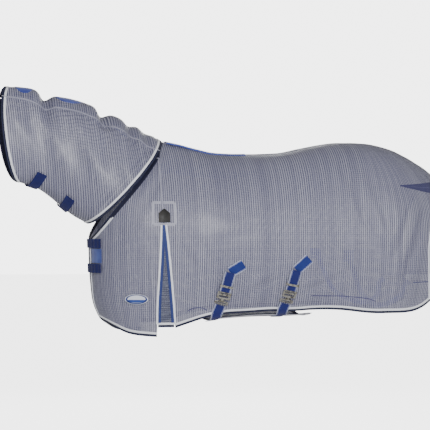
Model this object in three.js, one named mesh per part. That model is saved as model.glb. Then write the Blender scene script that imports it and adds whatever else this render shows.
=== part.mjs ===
// Fly sheet for a horse: mesh sheet with neck hood, belly wrap, tail flap and fastenings.
// Frame: -X to the head, +X to the tail, -Y the near (left) side, +Z up, millimetres.
// The origin is on the underside of the spine band, at the dip of the back.
// Every cloth piece is a thin slab laid on a form: "down" runs from the spine to the hem and
// "back" runs from the head to the tail, so down x back points out of the near side.

import * as THREE from "three";

// ---- Driving dimensions -------------------------------------------------------------------
const FRONT_REACH = 440;      // dip of the back to the front end of the spine
const REAR_REACH = 870;       // dip of the back to the dock
const CHEST_REACH = 320;      // withers to the front of the chest
const RUMP_REACH = 485;       // point of the hip to the back of the buttocks
const HOOD_REACH = 698;       // withers to the poll
const SHOULDER_HALF = 268;    // half width of the sheet at the shoulder
const BARREL_HALF = 318;      // half width at the barrel
const HIP_HALF = 305;         // half width at the hips
const HEM_DROP = 722;         // dip of the back to the hem beside the belly
const CLOTH = 2.4;            // woven mesh cloth with its coating
const BINDING = 15;           // width of the folded edge binding
const BINDING_THICK = 4;
const WEBBING = 50;           // width of the surcingle webbing
const WEBBING_THICK = 2.4;
const SPINE_BAND = 44;        // width of the band along the spine
const TAB_WIDTH = 42;         // width of each touch-tape tab
const TAB_THICK = 3;
const LEG_WEBBING = 25;       // width of the leg straps
const HARDWARE = 3;           // thickness of plates and hooks
const WIRE = 2.6;             // wire radius of rings and snap hooks
const GAP = 0.3;              // gap between pieces that touch
const EDGE_GAP = 0.8;         // gap between a panel and the binding that runs on from it
const SEAM_GAP = 1.2;         // gap between two panels joined by a seam
const CLEAR = 4;              // clearance of a loose strap over the cloth

// ---- Finishes -----------------------------------------------------------------------------
const finish = (color, roughness, metalness = 0) => ({ color, roughness, metalness });
const MESH = finish(0x9a9aa7, 0.6);
const MESH_DARK = finish(0x50556b, 0.65);
const TAPE = finish(0x1a2450, 0.8);
const NAVY = finish(0x14285f, 0.85);
const LINING = finish(0x43568f, 0.8);
const LEATHER = finish(0x151515, 0.6);
const METAL = finish(0x8d8267, 0.35, 1);
const BADGE = finish(0xd8dbe6, 0.4);

// ---- Helpers ------------------------------------------------------------------------------
const { PI, sin, cos, abs, max, min, sqrt, hypot, sign } = Math;
const mix = (a, b, t) => a + (b - a) * t;
const rad = THREE.MathUtils.degToRad;
const vec = (x, y, z) => new THREE.Vector3(x, y, z);

// A curve through a few points that never overshoots them: monotone cubic interpolation.
function curve(points) {
  const slope = (i) => (points[i + 1][1] - points[i][1]) / (points[i + 1][0] - points[i][0]);
  const last = points.length - 1;
  const tangent = points.map((point, i) => {
    if (i === 0) return slope(0);
    if (i === last) return slope(last - 1);
    const before = slope(i - 1);
    const after = slope(i);
    if (before * after <= 0) return 0;
    const steepness = abs(before) + abs(after) + min(abs(before), abs(after));
    return (sign(before) * 3 * abs(before * after)) / steepness;
  });
  return (x) => {
    const at = min(max(x, points[0][0]), points[last][0]);
    let i = 0;
    while (i < last - 1 && at > points[i + 1][0]) i += 1;
    const span = points[i + 1][0] - points[i][0];
    const t = (at - points[i][0]) / span;
    const t2 = t * t;
    const t3 = t2 * t;
    return (2 * t3 - 3 * t2 + 1) * points[i][1] + (t3 - 2 * t2 + t) * span * tangent[i]
      + (3 * t2 - 2 * t3) * points[i + 1][1] + (t3 - t2) * span * tangent[i + 1];
  };
}

// Direction in which a placed surface runs as "down" or "back" grows.
function along(place, down, back, axis) {
  const step = 1e-3;
  const [d, b] = axis === "down" ? [step, 0] : [0, step];
  const ahead = place(min(down + d, 1), min(back + b, 1));
  return ahead.sub(place(max(down - d, 0), max(back - b, 0))).normalize();
}

function outward(place, down, back) {
  return along(place, down, back, "down").cross(along(place, down, back, "back")).normalize();
}

// A thin slab on a surface, lifted off it by "lift" to the middle of its thickness.
function slab(place, downSteps, backSteps, thickness = CLOTH, lift = 0) {
  const geometry = new THREE.BoxGeometry(1, 1, 1, downSteps, backSteps, 1);
  const at = geometry.attributes.position;
  for (let i = 0; i < at.count; i += 1) {
    const down = at.getX(i) + 0.5;
    const back = at.getY(i) + 0.5;
    const out = outward(place, down, back).multiplyScalar(lift + at.getZ(i) * thickness);
    const point = place(down, back).add(out);
    at.setXYZ(i, point.x, point.y, point.z);
  }
  return geometry;
}

// The surface of a binding that runs on from one edge of a placed panel.
function border(place, edge, width = BINDING) {
  const axis = edge === "top" || edge === "hem" ? "down" : "back";
  const ahead = edge === "hem" || edge === "rear";
  return (down, back) => {
    const across = axis === "down" ? down : back;
    const end = ahead ? 1 : 0;
    const [d, b] = axis === "down" ? [end, back] : [down, end];
    const reach = ahead ? EDGE_GAP + across * width : -EDGE_GAP - (1 - across) * width;
    return place(d, b).add(along(place, d, b, axis).multiplyScalar(reach));
  };
}

// The same piece on the off side.
function mirrored(geometry) {
  const copy = geometry.clone();
  const at = copy.attributes.position;
  for (let i = 0; i < at.count; i += 1) at.setY(i, -at.getY(i));
  if (copy.index) {
    const index = copy.index;
    for (let i = 0; i < index.count; i += 3) {
      const first = index.getX(i);
      index.setX(i, index.getX(i + 2));
      index.setX(i + 2, first);
    }
    return copy;
  }
  for (let i = 0; i < at.count; i += 3) {
    const [x, y, z] = [at.getX(i), at.getY(i), at.getZ(i)];
    at.setXYZ(i, at.getX(i + 2), at.getY(i + 2), at.getZ(i + 2));
    at.setXYZ(i + 2, x, y, z);
  }
  return copy;
}

const model = new THREE.Group();

function add(name, geometry, look) {
  const mesh = new THREE.Mesh(geometry, new THREE.MeshStandardMaterial(look));
  mesh.name = name;
  model.add(mesh);
}

function addPair(name, geometry, look) {
  add(`near_${name}`, geometry, look);
  add(`off_${name}`, mirrored(geometry), look);
}

// ---- The form of the back, barrel and hindquarters ------------------------------------------
const F = FRONT_REACH;
const R = REAR_REACH;
const HIP = R - 390;          // from here the sheet rounds in behind the hindquarters
const SEAT_FLAT = 40;         // half length of the level stretch at the dip of the back

const topline = curve([
  [-1.2 * F, 70], [-F, 57], [-0.62 * F, 17], [-0.44 * F, 3], [-SEAT_FLAT, 0], [SEAT_FLAT, 0],
  [0.27 * R, 35], [0.36 * R, 50], [0.48 * R, 58], [0.64 * R, 52], [0.78 * R, 19], [0.87 * R, -19],
  [R, -97], [1.05 * R, -160], [1.12 * R, -320],
]);
const widest = curve([
  [-1.2 * F, SHOULDER_HALF], [-F, SHOULDER_HALF], [-0.5 * F, mix(SHOULDER_HALF, BARREL_HALF, 0.6)],
  [0, BARREL_HALF], [0.3 * R, BARREL_HALF], [0.64 * R, HIP_HALF], [R, HIP_HALF],
]);
const widestLevel = curve([[-F, -330], [0, -400], [0.3 * R, -400], [0.64 * R, -350]]);
const roundness = curve([[-F, 1.6], [-0.5 * F, 1.85], [0, 2.1], [0.3 * R, 2.3], [R, 2.1]]);
const hemCut = curve([
  [-1.2 * F, 78], [-0.99 * F, 69], [-0.9 * F, 61], [-0.725 * F, 30], [-0.55 * F, 15], [0, 0],
  [0.22 * R, -2], [0.29 * R, -10], [0.38 * R, -8], [0.6 * R, 11], [0.73 * R, 11], [0.82 * R, 3],
  [0.89 * R, -19], [0.93 * R, -46], [1.1 * R, -110],
]);
const hemTuck = curve([
  [-F, 36], [-0.55 * F, 84], [0, 104], [0.22 * R, 102], [0.35 * R, 72], [0.6 * R, 42], [R, 45],
]);
const hemLevel = (x) => -HEM_DROP - hemCut(x);
const rumpRound = (x) => sqrt(1 - min(max((x - HIP) / RUMP_REACH, 0), 0.995) ** 2);

// Half width of the form at a station and a height.
function halfWidth(x, z) {
  const wide = widest(x) * rumpRound(x);
  const level = widestLevel(x);
  const n = roundness(x);
  if (z >= level) {
    const rise = min((z - level) / (topline(x) - level), 1);
    return wide * (1 - rise ** n) ** (1 / n);
  }
  const fall = (level - z) / (level - hemLevel(x));
  return wide - hemTuck(x) * rumpRound(x) * fall * fall;
}

// A point of the near side, at station x, "down" from the edge of the spine band to the hem.
const SPINE_EDGE = SPINE_BAND / 2;
function flank(x, down) {
  const wide = widest(x) * rumpRound(x);
  const level = widestLevel(x);
  const n = roundness(x);
  const start = Math.asin(min(((SPINE_EDGE + SEAM_GAP) / wide) ** (n / 2), 0.95));
  if (down < 0.5) {
    const a = mix(start, PI / 2, down * 2);
    return vec(x, -wide * sin(a) ** (2 / n), level + (topline(x) - level) * max(cos(a), 0) ** (2 / n));
  }
  const fall = down * 2 - 1;
  return vec(x, -wide + hemTuck(x) * rumpRound(x) * fall * fall, mix(level, hemLevel(x), fall));
}

// A point on the near side given by its station and height, and the outward normal there.
const onFlank = (x, z) => vec(x, -halfWidth(x, z), z);
function flankNormal(x, z) {
  const step = 2;
  const down = onFlank(x, z - step).sub(onFlank(x, z + step));
  const back = onFlank(x + step, z).sub(onFlank(x - step, z));
  return down.cross(back).normalize();
}

// ---- The form of the shoulders and chest ----------------------------------------------------
const SHOULDER = -F - 40;     // from here the sheet rounds in to the chest
const chestReach = curve([[-900, 0.76], [-780, 0.83], [-732, 0.9], [-685, 0.95], [-591, 0.98], [-400, 1]]);

// A point at an angle round the front: 0 is the shoulder, 90 degrees the middle of the chest.
function chest(angle, z) {
  const reach = CHEST_REACH * chestReach(z);
  return vec(SHOULDER - reach * sin(angle), -halfWidth(SHOULDER, z) * cos(angle), z);
}
const neckline = curve([
  [rad(4), -26], [rad(13), -90], [rad(24), -160], [rad(35), -224], [rad(46), -284], [rad(60), -348],
  [rad(72), -388], [rad(90), -420],
]);
const chestHem = curve([
  [0, -112], [rad(27), -104], [rad(40), -96], [rad(50), -80], [rad(62), -60], [rad(75), -44], [rad(90), -30],
]);
// each front edge stops short of the middle by its binding, which comes closest at the hem
const FRONT_EDGE_HALF = (BINDING + EDGE_GAP) * SHOULDER_HALF / (SHOULDER_HALF - hemTuck(-F)) + 1;

// ---- Body and shoulder panels ---------------------------------------------------------------
// The seam runs down from the neckline and becomes the rear edge of the gusset.
const bodyFront = curve([[0, -22], [0.12, -34], [0.3, -59], [0.8, -61], [0.97, -50], [1.5, -22], [2, 2]]);
const bodyRear = curve([[0, -10], [0.3, -2], [0.6, -30], [0.95, -70], [1.3, -82], [1.7, -78], [2, -68]]);
const bodyPanel = (down, back) => {
  const front = -F + bodyFront(down * 2);
  const rear = R + bodyRear(down * 2);
  // stations crowd together towards the rounded rear
  return flank(mix(front, rear, 1 - (1 - back) ** 1.25), down);
};

const seamAngle = curve([[0, rad(4.2)], [0.38, rad(4.6)], [1, rad(9)]]);
const shoulderPanel = (down, back) => {
  const angle = mix(Math.acos(FRONT_EDGE_HALF / SHOULDER_HALF), seamAngle(down), back);
  const bottom = -HEM_DROP + chestHem(angle);
  return chest(angle, mix(neckline(angle), bottom, down));
};

const BODY_GRID = [14, 20];
const SHOULDER_GRID = [12, 10];
addPair("body_panel", slab(bodyPanel, ...BODY_GRID), MESH);
addPair("shoulder_panel", slab(shoulderPanel, ...SHOULDER_GRID), MESH);

// Spine band: flat across, with its underside on the form and level at the dip of the back.
const SPINE_FRONT = -F - 10;
const SPINE_REAR = R - 10;
const SPINE_STATIONS = { front: 8, seat: 2, rear: 14 };
const spineX = (station) => {
  const { front, seat, rear } = SPINE_STATIONS;
  if (station < front) return mix(SPINE_FRONT, -SEAT_FLAT, station / front);
  if (station < front + seat) return mix(-SEAT_FLAT, SEAT_FLAT, (station - front) / seat);
  return mix(SEAT_FLAT, SPINE_REAR, (station - front - seat) / rear);
};
const SPINE_STEPS = SPINE_STATIONS.front + SPINE_STATIONS.seat + SPINE_STATIONS.rear;
const spineBand = (down, back) => {
  const x = spineX(back * SPINE_STEPS);
  return vec(x, mix(SPINE_EDGE, -SPINE_EDGE, down), topline(x) + CLOTH / 2);
};
add("spine_band", slab(spineBand, 1, SPINE_STEPS), TAPE);

// Smooth lining under the withers, so that the mesh does not rub the mane.
const LINING_DROP = 12;
const LINING_REACH = 0.22;    // how far down the flank the lining goes
const witherLining = (down, back) => {
  const x = mix(-F + 6, -0.1 * F, back);
  const off = down < 0.5;
  const reach = abs(2 * down - 1);
  const point = flank(x, LINING_REACH * max(0, (reach - 0.25) / 0.75));
  point.y *= min(reach / 0.25, 1) * (off ? -1 : 1);
  return point;
};
add("wither_lining", slab(witherLining, 8, 6, CLOTH, -LINING_DROP), LINING);

// Gusset let in behind the shoulder, so that the foreleg can reach forward.
const GUSSET_TOP = -322;
const gusset = (down, back) => {
  const z = mix(GUSSET_TOP, hemLevel(-F) + 4, down);
  const share = (z - neckline(rad(6))) / (-HEM_DROP + chestHem(rad(6)) - neckline(rad(6)));
  const front = chest(seamAngle(share), z);
  const rearDown = 0.5 + 0.5 * ((widestLevel(-F) - z) / (widestLevel(-F) - hemLevel(-F)));
  const rear = flank(-F + bodyFront(rearDown * 2), min(max(rearDown, 0.48), 1));
  rear.z = z;
  const inset = (SEAM_GAP + 1.5) / max(rear.x - front.x, 8);
  return front.lerp(rear, mix(inset, 1 - inset, back));
};
addPair("gusset", slab(gusset, 12, 2), MESH_DARK);

// ---- Bindings ---------------------------------------------------------------------------------
const binding = (place, edge, steps) => {
  const [down, back] = edge === "top" || edge === "hem" ? [1, steps] : [steps, 1];
  return slab(border(place, edge), down, back, BINDING_THICK);
};
addPair("hem_binding", binding(bodyPanel, "hem", BODY_GRID[1]), TAPE);
addPair("rear_binding", binding(bodyPanel, "rear", BODY_GRID[0]), TAPE);
addPair("shoulder_hem_binding", binding(shoulderPanel, "hem", SHOULDER_GRID[1]), TAPE);
addPair("front_binding", binding(shoulderPanel, "front", SHOULDER_GRID[0]), TAPE);
addPair("neckline_binding", binding(shoulderPanel, "top", SHOULDER_GRID[1]), TAPE);

// ---- Small parts laid on the flank --------------------------------------------------------------
// Local frame of a small part: x towards the tail, y up the cloth, z out, turned by "turn".
function standOn(point, normal, turn) {
  const up = vec(0, 0, 1).addScaledVector(normal, -normal.z).normalize();
  const right = up.clone().cross(normal).normalize();
  const frame = new THREE.Matrix4().makeBasis(right, up, normal).setPosition(point);
  return frame.multiply(new THREE.Matrix4().makeRotationZ(turn));
}

function plate(outline, thickness) {
  const settings = { depth: thickness, bevelEnabled: false, curveSegments: 12 };
  return new THREE.ExtrudeGeometry(outline, settings).translate(0, 0, -thickness / 2);
}

const rectangle = (width, height) => new THREE.Shape([
  new THREE.Vector2(-width / 2, -height / 2), new THREE.Vector2(width / 2, -height / 2),
  new THREE.Vector2(width / 2, height / 2), new THREE.Vector2(-width / 2, height / 2),
]);

// A patch of cloth or tape that lies on the flank and follows its curve.
function patch(centre, size, thickness, lift) {
  const place = (down, back) => onFlank(centre.x + (back - 0.5) * size, centre.z + (0.5 - down) * size);
  return slab(place, 3, 3, thickness, lift);
}

// Leather patch that covers the top of the gusset: a rectangle with a pointed top.
const PATCH_WIDTH = 54;
const PATCH_HEIGHT = 64;
const PATCH_THICK = 2.5;
const PATCH_LIFT = 6;
const patchOutline = new THREE.Shape(
  [[-0.5, -0.5], [0.5, -0.5], [0.5, 1 / 6], [0, 0.5], [-0.5, 1 / 6]]
    .map(([x, y]) => new THREE.Vector2(x * PATCH_WIDTH, y * PATCH_HEIGHT)),
);
const patchAt = { x: -F - 54, z: GUSSET_TOP + 34 };
const patchNormal = flankNormal(patchAt.x, patchAt.z);
const patchPoint = onFlank(patchAt.x, patchAt.z).addScaledVector(patchNormal, PATCH_LIFT);
const gussetPatch = plate(patchOutline, PATCH_THICK).applyMatrix4(standOn(patchPoint, patchNormal, 0));
addPair("gusset_patch", gussetPatch, LEATHER);

// Oval badge on the shoulder.
const BADGE_WIDTH = 110;
const BADGE_HEIGHT = 48;
const BADGE_LEVEL = -HEM_DROP + 50;
const BADGE_LIFT = 8;
const badgeAngle = rad(26);
const badgeOut = vec(-sin(badgeAngle) * 0.8, -cos(badgeAngle), -0.08).normalize();
const badgePoint = chest(badgeAngle, BADGE_LEVEL).addScaledVector(badgeOut, BADGE_LIFT);
const oval = new THREE.Shape().absellipse(0, 0, BADGE_WIDTH / 2, BADGE_HEIGHT / 2, 0, 2 * PI);
add("badge", plate(oval, 2).applyMatrix4(standOn(badgePoint, badgeOut, 0)), BADGE);

// ---- Chest fastening ----------------------------------------------------------------------------
const TAB_LIFT = 9;
const CHEST_TAB_LEVELS = [-418, -533];
const chestTab = (level) => (down, back) => {
  const angle = mix(rad(97), rad(62), back);
  return chest(angle, level + (0.5 - down) * TAB_WIDTH);
};
["upper", "lower"].forEach((name, i) => {
  add(`chest_tab_${name}`, slab(chestTab(CHEST_TAB_LEVELS[i]), 1, 8, TAB_THICK, TAB_LIFT), NAVY);
});
const loopPatch = (down, back) => chest(mix(rad(80), rad(62), back), mix(-442, -509, down));
add("chest_loop_patch", slab(loopPatch, 3, 3, 2, 4), LINING);

// ---- Hood ---------------------------------------------------------------------------------------
const HOOD_REAR = -F - 42;    // rear end of the hood's crest, in front of the sheet's neckline
const H = HOOD_REACH;
const crestX = curve([[0, HOOD_REAR - H], [0.25, HOOD_REAR - 0.76 * H], [0.5, HOOD_REAR - 0.52 * H],
  [0.75, HOOD_REAR - 0.27 * H], [1, HOOD_REAR]]);
const crestZ = curve([
  [0, 302], [0.12, 300], [0.25, 268], [0.5, 238], [0.62, 205], [0.75, 163], [0.9, 115], [1, 67],
]);
const throatX = curve([[0, HOOD_REAR - 0.925 * H], [0.25, HOOD_REAR - 0.8 * H], [0.5, HOOD_REAR - 0.685 * H],
  [0.75, HOOD_REAR - 0.58 * H], [1, HOOD_REAR - 0.487 * H]]);
const throatZ = curve([[0, -133], [0.25, -162], [0.5, -222], [0.75, -282], [1, -318]]);
const hoodHalf = curve([[0, 104], [0.25, 112], [0.5, 136], [0.75, 178], [1, 218]]);
const faceBulge = curve([[0, -48], [0.3, -14], [0.6, 0], [1, 0]]);
const rearBulge = curve([[0, 0], [0.5, 2], [1, 24]]);

// A point round the neck: angle 0 is the crest, PI the throat, positive angles the near side.
function neck(reach, angle) {
  const crest = vec(crestX(reach), 0, crestZ(reach));
  const throat = vec(throatX(reach), 0, throatZ(reach));
  const drop = throat.clone().sub(crest);
  const rearward = vec(-drop.z, 0, drop.x).normalize();
  const bulge = sin(abs(angle));
  const point = crest.addScaledVector(drop, (1 - cos(angle)) / 2);
  point.addScaledVector(rearward, rearBulge(reach) * bulge);
  point.x += faceBulge(reach) * bulge;
  point.y = -hoodHalf(reach) * sin(angle);
  return point;
}
const MANE_SEAM = rad(38);    // angle of the seam beside the crest
const THROAT_HALF = 11;       // half the gap between the two throat edges
const throatAngle = (reach) => PI - Math.asin(THROAT_HALF / hoodHalf(reach));
const seamStep = (reach) => SEAM_GAP / hoodHalf(reach);
const hoodPanel = (down, back) => {
  const start = MANE_SEAM + seamStep(back) * 1.5;
  return neck(back, mix(start, throatAngle(back), down));
};
const crestPanel = (down, back) => neck(back, mix(-MANE_SEAM, MANE_SEAM, down));

const HOOD_GRID = [12, 12];
addPair("hood_panel", slab(hoodPanel, ...HOOD_GRID), MESH);
add("crest_panel", slab(crestPanel, 6, HOOD_GRID[1]), MESH);
const crestLining = (down, back) => neck(mix(0.06, 0.9, back), mix(-MANE_SEAM * 0.8, MANE_SEAM * 0.8, down));
add("crest_lining", slab(crestLining, 4, 10, CLOTH, -LINING_DROP), LINING);
addPair("face_binding", binding(hoodPanel, "front", HOOD_GRID[0]), TAPE);
addPair("hood_rear_binding", binding(hoodPanel, "rear", HOOD_GRID[0]), TAPE);

// Throat tabs go from the off side under the throat to the near side.
// "slant" is how far the near end leans back, as a share of the hood's reach, and "near" is how
// many degrees up the near side it comes.
const THROAT_TABS = {
  front: { reach: 0.11, slant: 0.18, near: 50 },
  rear: { reach: 0.61, slant: 0.02, near: 39 },
};
const throatTab = ({ reach, slant, near }) => (down, back) => {
  const across = (back - 0.5) * (TAB_WIDTH / hypot(throatX(1) - throatX(0), throatZ(1) - throatZ(0)));
  return neck(reach + slant * (1 - down) + across, mix(PI - rad(near), PI + rad(17), down));
};
Object.entries(THROAT_TABS).forEach(([name, place]) => {
  add(`throat_tab_${name}`, slab(throatTab(place), 8, 1, TAB_THICK, TAB_LIFT), NAVY);
});

// ---- Belly wrap ---------------------------------------------------------------------------------
// It hangs from the off-side hem, passes under the belly and stops short of the near-side hem.
const WRAP_FRONT = -0.53 * F;
const WRAP_REAR = 0.245 * R;
const WRAP_SAG = 24;
const WRAP_GAP = 7;           // the wrap's rim hangs this far below the hem binding
const HEM_HALF = BARREL_HALF - hemTuck(0);
const WRAP_OFF = HEM_HALF - 8;
const WRAP_NEAR = -HEM_HALF + 38;
const wrapLevel = (x, y) => hemLevel(x) - BINDING - WRAP_GAP - WRAP_SAG * (1 - (y / WRAP_OFF) ** 2);
const bellyWrap = (down, back) => {
  const x = mix(WRAP_FRONT, WRAP_REAR, back);
  const y = mix(WRAP_NEAR, WRAP_OFF, down);
  return vec(x, y, wrapLevel(x, y));
};
const WRAP_GRID = [12, 8];
add("belly_wrap", slab(bellyWrap, ...WRAP_GRID), MESH);
add("wrap_edge_binding", slab(border(bellyWrap, "top"), 1, WRAP_GRID[1], BINDING_THICK), TAPE);

// ---- Surcingles ---------------------------------------------------------------------------------
// A strap along a smooth path; "normal" gives the way its outer face looks at each point.
function strap(points, normal, width, thickness, steps, lift = 0) {
  const path = new THREE.CatmullRomCurve3(points);
  const place = (down, back) => {
    const point = path.getPoint(down);
    const across = normal(point).cross(path.getTangent(down)).normalize();
    return point.addScaledVector(across, (back - 0.5) * width);
  };
  return slab(place, steps, 1, thickness, lift);
}
const flankOut = (point) => flankNormal(point.x, max(point.z, hemLevel(point.x) + 4));

// Near-side fastenings: anchor end, fold and hook, each a station and a height above the hem's
// level at the dip of the back, and the station where the lower strap crosses the hem.
const SURCINGLES = [
  { name: "front", anchor: [-128, 210], fold: [-188, 173], hook: [-216, 52], hem: -238 },
  { name: "rear", anchor: [180, 235], fold: [122, 182], hook: [93, 58], hem: 75 },
];
const ANCHOR_LIFT = CLEAR + 1;
const HOOK_LIFT = CLEAR + 2;              // the hook and its strap lie close to the cloth
const HOOK_CLEAR = 4;                     // room for the hook to swing out from behind the plate
const STRAP_LIFT = HOOK_LIFT + HARDWARE + HOOK_CLEAR;
const PLATE_HEIGHT = 34;
const BUCKLE_WIDTH = WEBBING + 16;
const SLOT = 5;               // height of a slot that takes webbing
const STRAP_CLEAR = 1;        // clearance of the webbing in the slider
const SLIDER_SHARE = 0.72;    // how far down the hanging strap the slider sits

function cutSlot(outline, y, width, height) {
  const hole = rectangle(width, height).getPoints().map((point) => point.add(new THREE.Vector2(0, y)));
  outline.holes.push(new THREE.Path(hole.reverse()));
}
function plateOutline() {
  const outline = rectangle(BUCKLE_WIDTH, PLATE_HEIGHT);
  cutSlot(outline, PLATE_HEIGHT / 2 - 7, WEBBING + 2, SLOT);
  cutSlot(outline, -5, WEBBING - 2, SLOT + 4);
  return outline;
}
function hookOutline() {
  const [wide, bar, stem] = [BUCKLE_WIDTH / 2, WEBBING / 2 - 3, 8];
  const corners = [[-wide, -14], [wide, -14], [wide, 0], [stem, 5], [stem, 13], [bar, 13], [bar, 21],
    [-bar, 21], [-bar, 13], [-stem, 13], [-stem, 5], [-wide, 0]];
  const outline = new THREE.Shape(corners.map(([x, y]) => new THREE.Vector2(x, y)));
  cutSlot(outline, -7, WEBBING + 2, SLOT);
  return outline;
}

for (const { name, anchor, fold, hook, hem } of SURCINGLES) {
  const lifted = (share, from, to, lift) => {
    const [x, z] = [mix(from[0], to[0], share), mix(from[1], to[1], share) - HEM_DROP];
    return onFlank(x, z).addScaledVector(flankNormal(x, z), lift);
  };
  const length = hypot(hook[0] - fold[0], hook[1] - fold[1]);
  const turn = Math.atan2(hook[0] - fold[0], fold[1] - hook[1]);
  const plateShare = 1 - PLATE_HEIGHT / length;
  const plateNormal = flankNormal(hook[0], hook[1] - HEM_DROP);

  add(`${name}_surcingle_anchor`, strap([0, 0.5, 1].map((share) => lifted(share, anchor, fold, ANCHOR_LIFT)),
    flankOut, WEBBING, WEBBING_THICK, 4), NAVY);
  const strapPoints = [0, 0.5, 1].map((share) => lifted(share * plateShare, fold, hook, STRAP_LIFT));
  add(`${name}_surcingle_strap`, strap(strapPoints, flankOut, WEBBING, WEBBING_THICK, 6), NAVY);
  const plateAt = lifted(plateShare + (PLATE_HEIGHT / 2 + GAP) / length, fold, hook, STRAP_LIFT);
  add(`${name}_surcingle_plate`,
    plate(plateOutline(), HARDWARE).applyMatrix4(standOn(plateAt, plateNormal, turn)), METAL);

  // the slider is a flat ring round the strap, a little above the plate
  const strapLine = new THREE.CatmullRomCurve3(strapPoints);
  const sliderAt = strapLine.getPoint(SLIDER_SHARE);
  const up = strapLine.getTangent(SLIDER_SHARE).negate();
  const right = up.clone().cross(flankOut(sliderAt)).normalize();
  const onStrap = new THREE.Matrix4().makeBasis(right, up, right.clone().cross(up)).setPosition(sliderAt);
  const opening = WEBBING_THICK + 2 * STRAP_CLEAR;
  const ring = rectangle(WEBBING + 12, opening + 5);
  cutSlot(ring, 0, WEBBING + 2, opening);
  const slider = plate(ring, 10).applyMatrix4(new THREE.Matrix4().makeRotationX(PI / 2));
  add(`${name}_slider`, slider.applyMatrix4(onStrap), METAL);

  // the hook's bar lies behind the plate, and its strap goes on down and under the wrap
  const hookAt = lifted(1 + 14 / length, fold, hook, HOOK_LIFT);
  add(`${name}_surcingle_hook`,
    plate(hookOutline(), HARDWARE).applyMatrix4(standOn(hookAt, plateNormal, turn)), METAL);
  const below = 14 + 19;
  const lowerTop = lifted(1 + below / length, fold, hook, HOOK_LIFT);
  const rim = onFlank(hem, hemLevel(hem)).add(vec(0, -HOOK_LIFT - 1.5, -BINDING * 0.6));
  const under = (y, drop) => vec(hem, y, wrapLevel(hem, y) - CLEAR - drop);
  const wrapOut = vec(hemLevel(hem + WEBBING / 2) - hemLevel(hem - WEBBING / 2), 0, -WEBBING).normalize();
  const lowerPath = [lowerTop, lowerTop.clone().lerp(rim, 0.55), rim, under(WRAP_NEAR - 22, 1),
    under(WRAP_NEAR + 30, 0), under(WRAP_NEAR + 100, 0)];
  const lowerOut = (point) => {
    const share = min(max((point.z - rim.z) / (lowerTop.z - rim.z), 0), 1);
    const out = point.y > rim.y + 12 ? wrapOut.clone() : vec(0, -1, 0);
    return out.lerp(plateNormal, share).normalize();
  };
  add(`${name}_wrap_strap`, strap(lowerPath, lowerOut, WEBBING, WEBBING_THICK, 14), NAVY);
}

// ---- Tail flap ----------------------------------------------------------------------------------
const FLAP_TOP = -108;
const FLAP_BOTTOM = -565;
const flapReach = curve([[-600, 4], [-400, 12], [-250, -8], [-140, -46], [-100, -88]]);
const flapRound = curve([
  [-600, HIP_HALF], [-350, HIP_HALF + 26], [-140, HIP_HALF - 30], [-100, HIP_HALF - 50],
]);
const flapHalf = curve([[0, 100], [0.14, 130], [0.55, 215], [1, 236]]);
const tailFlap = (down, back) => {
  const z = mix(FLAP_TOP, FLAP_BOTTOM, down);
  const y = mix(-1, 1, back) * flapHalf(down);
  return vec(HIP + 10 + (RUMP_REACH + flapReach(z)) * sqrt(1 - (y / flapRound(z)) ** 2), y, z);
};
add("tail_flap", slab(tailFlap, 9, 10), MESH);

// ---- Leg straps -----------------------------------------------------------------------------------
// Each strap hangs from a patch inside the flank, passes between the hind legs and clips to a ring.
const LEG_PATCH = { x: 374, z: -HEM_DROP + 244 };
const LEG_PATCH_SIZE = 52;
const LEG_PATCH_DEPTH = 13;
addPair("leg_strap_patch", patch(LEG_PATCH, LEG_PATCH_SIZE, 2, -LEG_PATCH_DEPTH), LINING);

const RING_RADIUS = 16;
const SNAP_THICK = 6;
const BOW = { centre: 40, inner: 6, outer: 11, tip: rad(100) };
const RING_LEVEL = -HEM_DROP + 122;
const ringX = R - 105;
const ringAt = vec(ringX, -halfWidth(ringX, RING_LEVEL) + RING_RADIUS + WIRE + CLEAR + 3, RING_LEVEL);
const ring = new THREE.TorusGeometry(RING_RADIUS, WIRE, 8, 20);
addPair("leg_strap_ring", ring.translate(ringAt.x, ringAt.y, ringAt.z), METAL);

// The snap is a plate on edge: an eye for the webbing, a shank, and a bow that holds the ring.
const EYE_HALF = LEG_WEBBING / 2 + 5;
const SHANK_HALF = 4.5;
const snapOutline = new THREE.Shape();
snapOutline.moveTo(0, -EYE_HALF);
snapOutline.lineTo(9, -EYE_HALF);
snapOutline.lineTo(9, -SHANK_HALF);
snapOutline.lineTo(BOW.centre - BOW.outer + 1, -SHANK_HALF);
snapOutline.absarc(BOW.centre, 0, BOW.outer, PI + 0.42, 2 * PI + BOW.tip, false);
snapOutline.absarc(BOW.centre, 0, BOW.inner, BOW.tip, -PI, true);
snapOutline.lineTo(BOW.centre - BOW.inner - 1, SHANK_HALF);
snapOutline.lineTo(9, SHANK_HALF);
snapOutline.lineTo(9, EYE_HALF);
snapOutline.lineTo(0, EYE_HALF);
const eyeSlot = [[3, 1], [6, 1], [6, -1], [3, -1]]
  .map(([x, y]) => new THREE.Vector2(x, y * (LEG_WEBBING / 2 + 1)));
snapOutline.holes.push(new THREE.Path(eyeSlot));
const snapAt = vec(ringAt.x - RING_RADIUS - BOW.centre - BOW.inner + WIRE + GAP * 2, ringAt.y, RING_LEVEL);
const onEdge = (outline, thickness) => plate(outline, thickness).rotateX(PI / 2)
  .translate(snapAt.x, snapAt.y, snapAt.z);
addPair("leg_snap", onEdge(snapOutline, SNAP_THICK), METAL);

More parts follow.
